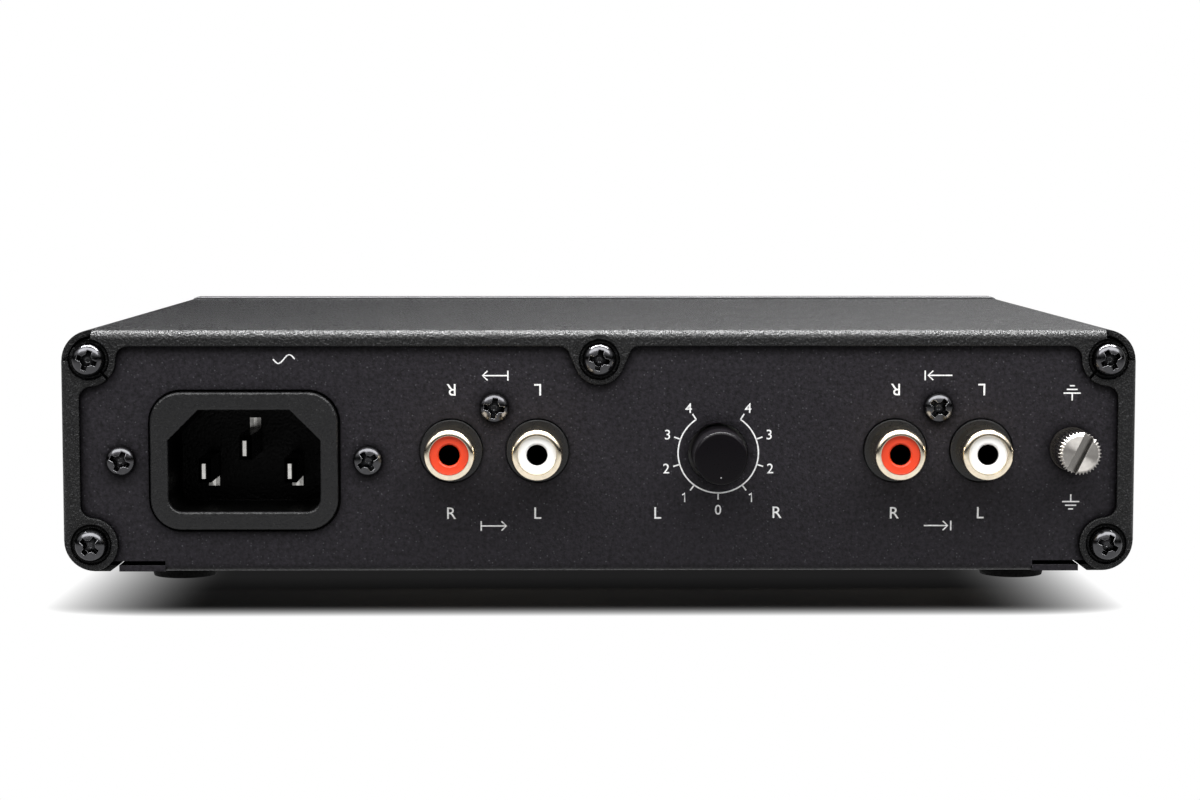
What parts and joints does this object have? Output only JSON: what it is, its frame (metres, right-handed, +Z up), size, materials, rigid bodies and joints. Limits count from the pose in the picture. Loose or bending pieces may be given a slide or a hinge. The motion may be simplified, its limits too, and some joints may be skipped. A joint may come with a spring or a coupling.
{
  "type": "phono preamplifier",
  "caption": "Low phono preamplifier in a folded metal case: mains inlet, colour-coded phono jacks, balance knob and knurled earth screw behind, round power button in front.",
  "frame": {"origin": "on the surface the feet stand on, under the middle of the overall length and width", "axes": "+X to the right as seen from the connector side, +Y from the connectors to the front fascia, +Z up"},
  "size_m": [0.174, 0.1366, 0.0427],
  "materials": {
    "case_paint": "matt fine-textured near-black powder coat",
    "cover_paint": "matt fine-textured near-black powder coat",
    "fascia_finish": "bead-blasted and anodised near-black",
    "black_screw": "black-plated steel, semi-gloss",
    "zinc_steel": "bright zinc",
    "inlet_plastic": "moulded, fine satin",
    "pin_plate": "bright nickel plate",
    "jack_plastic": "moulded, satin",
    "gold_plate": "pale gold plate, polished",
    "red_insulator": "moulded, satin gloss",
    "white_insulator": "moulded, satin gloss",
    "knob_plastic": "moulded, satin",
    "button_metal": "turned and bead-blasted",
    "pot_metal": "plain die-cast",
    "board_laminate": "glass-fibre laminate with green solder resist",
    "black_component": "moulded component bodies",
    "film_component": "yellow film component bodies",
    "core_component": "ferrite cores with taped windings",
    "heatsink_aluminium": "plain sheet",
    "clip_metal": "tinned spring brass",
    "fuse_glass": "glass tube with metal caps",
    "clear_plastic": "clear moulded",
    "foot_rubber": "matt black rubber"
  },
  "bodies": {
    "case": {"amplifier_chips": "black_component", "balance_pot": "pot_metal", "board_header": "black_component", "board_screws": "zinc_steel", "board_standoffs": "zinc_steel", "bridge_rectifier": "black_component", "bulk_capacitor": "black_component", "chassis_tray": "case_paint", "cover_screws": "black_screw", "fascia_screws": "zinc_steel", "film_capacitors": "film_component", "filter_choke": "core_component", "foot_front_left": "foot_rubber", "foot_front_right": "foot_rubber", "foot_rear_left": "foot_rubber", "foot_rear_right": "foot_rubber", "front_board": "board_laminate", "front_fascia": "fascia_finish", "fuse_clips": "clip_metal", "ground_nut": "zinc_steel", "ground_tag": "zinc_steel", "heatsink": "heatsink_aluminium", "inlet_earth_pin": "pin_plate", "inlet_live_pin": "pin_plate", "inlet_neutral_pin": "pin_plate", "inlet_nuts": "zinc_steel", "inlet_screws": "black_screw", "input_jack_body": "jack_plastic", "input_left_insulator": "white_insulator", "input_left_shell": "gold_plate", "input_right_insulator": "red_insulator", "input_right_shell": "gold_plate", "jack_contacts": "gold_plate", "jack_screws": "black_screw", "light_pipe": "clear_plastic", "main_board": "board_laminate", "mains_fuse": "fuse_glass", "mains_inlet": "inlet_plastic", "mute_relay": "black_component", "output_jack_body": "jack_plastic", "output_left_insulator": "white_insulator", "output_left_shell": "gold_plate", "output_right_insulator": "red_insulator", "output_right_shell": "gold_plate", "power_switch": "black_component", "power_transformer": "core_component", "regulators": "black_component", "signal_capacitors": "black_component", "smoothing_capacitors": "black_component", "status_led": "clear_plastic", "suppression_capacitor": "film_component", "top_cover": "cover_paint"},
    "balance": {"balance_knob": "knob_plastic", "balance_shaft": "pot_metal"},
    "power_button": {"power_button": "button_metal", "switch_plunger": "black_component"},
    "ground_washer": {"ground_washer": "pin_plate"},
    "ground_screw": {"ground_screw": "pin_plate"}
  },
  "joints": [
    {"name": "balance_turn", "type": "hinge", "parent": "case", "child": "balance", "pos_m": [0.0193, -0.063, 0.0223], "axis": [0, -1, 0], "range_deg": [-150, 150]},
    {"name": "power_press", "type": "slide", "parent": "case", "child": "power_button", "axis": [0, -1, 0], "range_m": [0, 0.001], "stiffness_N_per_m": 300, "springref_m": -0.002},
    {"name": "ground_travel", "type": "slide", "parent": "case", "child": "ground_washer", "axis": [0, -1, 0], "range_m": [0, 0.0028]},
    {"name": "ground_turn", "type": "hinge", "parent": "ground_washer", "child": "ground_screw", "pos_m": [0.0767, -0.063, 0.0229], "axis": [0, -1, 0], "range_deg": [0, 1440]}
  ],
  "couplings": [
    {"joint": "ground_turn", "follows": "ground_travel", "rad_per_m": 8976}
  ]
}
